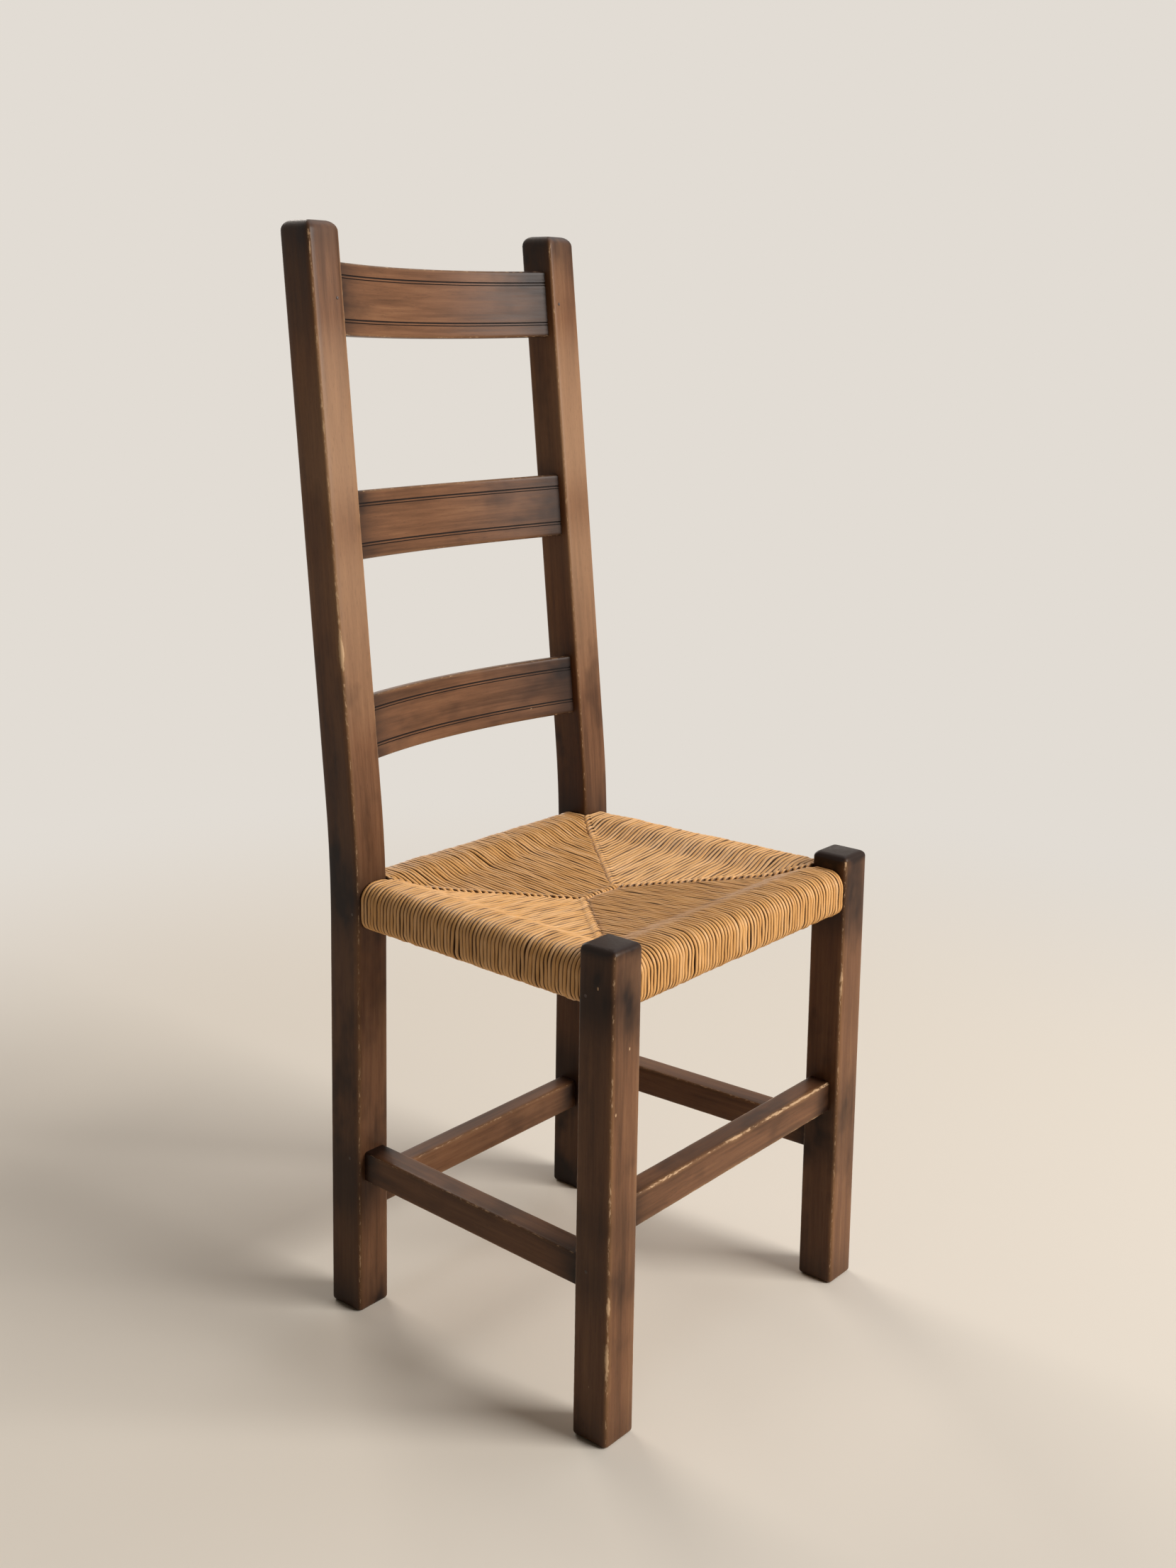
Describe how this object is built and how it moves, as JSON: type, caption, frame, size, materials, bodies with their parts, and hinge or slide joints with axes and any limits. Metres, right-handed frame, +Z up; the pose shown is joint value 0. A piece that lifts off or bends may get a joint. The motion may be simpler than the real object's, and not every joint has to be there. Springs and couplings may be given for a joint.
{
  "type": "ladderback chair",
  "caption": "Ladderback dining chair: square dark-stained posts and legs, bowed slats raked back above the seat, pinned stretchers and a woven rush seat.",
  "frame": {"origin": "on the floor, at the bottom centre of the chair's bounding box", "axes": "+Z up, the front of the chair faces -Y, the sitter's right is -X"},
  "size_m": [0.416, 0.4403, 1.092],
  "materials": {
    "post_wood": "dark walnut stain, satin, worn pale along the edges",
    "slat_wood": "dark walnut stain, satin, darker in the grooves and at the ends",
    "stretcher_wood": "dark walnut stain, satin, worn along the top edges",
    "rail_wood": "plain unstained hardwood, hidden under the rush",
    "rush": "golden tan natural rush cord, slightly glossy",
    "packing_rush": "loose dry rush stuffing, hidden",
    "pin_wood": "dark stained hardwood pins"
  },
  "bodies": {
    "root": {"rear_post_right": "post_wood", "front_leg_right": "post_wood", "rear_post_left": "post_wood", "front_leg_left": "post_wood", "back_slat_top": "slat_wood", "back_slat_middle": "slat_wood", "back_slat_bottom": "slat_wood", "stretcher_front": "stretcher_wood", "stretcher_rear": "stretcher_wood", "stretcher_right": "stretcher_wood", "stretcher_left": "stretcher_wood", "seat_rail_front": "rail_wood", "seat_rail_rear": "rail_wood", "seat_rail_right": "rail_wood", "seat_rail_left": "rail_wood", "rush_seat": "rush", "packing_front": "packing_rush", "packing_rear": "packing_rush", "packing_right": "packing_rush", "packing_left": "packing_rush", "stretcher_pins": "pin_wood", "rail_pins": "pin_wood", "slat_pins": "pin_wood"}
  },
  "joints": []
}
